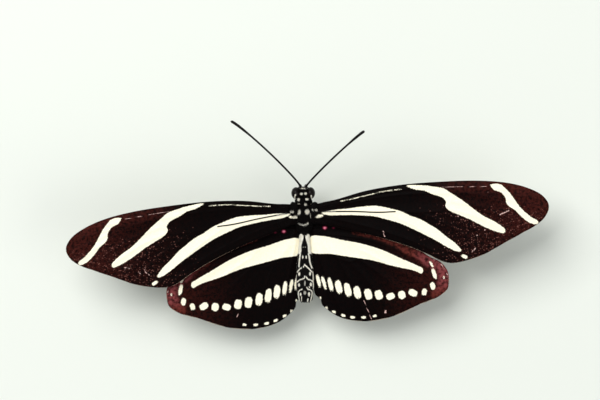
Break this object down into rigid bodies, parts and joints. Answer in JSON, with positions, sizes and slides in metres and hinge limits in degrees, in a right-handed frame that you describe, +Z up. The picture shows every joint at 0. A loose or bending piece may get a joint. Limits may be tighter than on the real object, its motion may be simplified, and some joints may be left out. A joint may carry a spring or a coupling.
{
  "type": "zebra longwing butterfly",
  "caption": "Life-size zebra longwing butterfly standing on its feet, with long narrow wings spread flat, slender body and clubbed feelers.",
  "frame": {"origin": "on the floor under the middle of the whole butterfly's box", "axes": "+X to the butterfly's right, +Y the way it faces, +Z up"},
  "size_m": [0.0868, 0.0378, 0.0222],
  "materials": {
    "black_scales": "matte scales on chitin",
    "cream_scales": "matte pale scales on chitin",
    "eye": "glossy compound eye",
    "cuticle": "bare satin chitin"
  },
  "bodies": {
    "root": {"head": "black_scales", "eye_right": "eye", "eye_left": "eye", "antenna_right": "cuticle", "antenna_left": "cuticle", "palp_right": "black_scales", "palp_left": "black_scales", "proboscis": "cuticle", "collar": "black_scales", "thorax": "black_scales", "tegula_right": "black_scales", "tegula_left": "black_scales", "abdomen": "black_scales", "clasper_right": "cream_scales", "clasper_left": "cream_scales", "forewing_right": "black_scales", "forewing_left": "black_scales", "hindwing_right": "black_scales", "hindwing_left": "black_scales", "fore_leg_right": "cuticle", "fore_leg_left": "cuticle", "mid_leg_right": "cuticle", "mid_leg_left": "cuticle", "hind_leg_right": "cuticle", "hind_leg_left": "cuticle"}
  },
  "joints": []
}
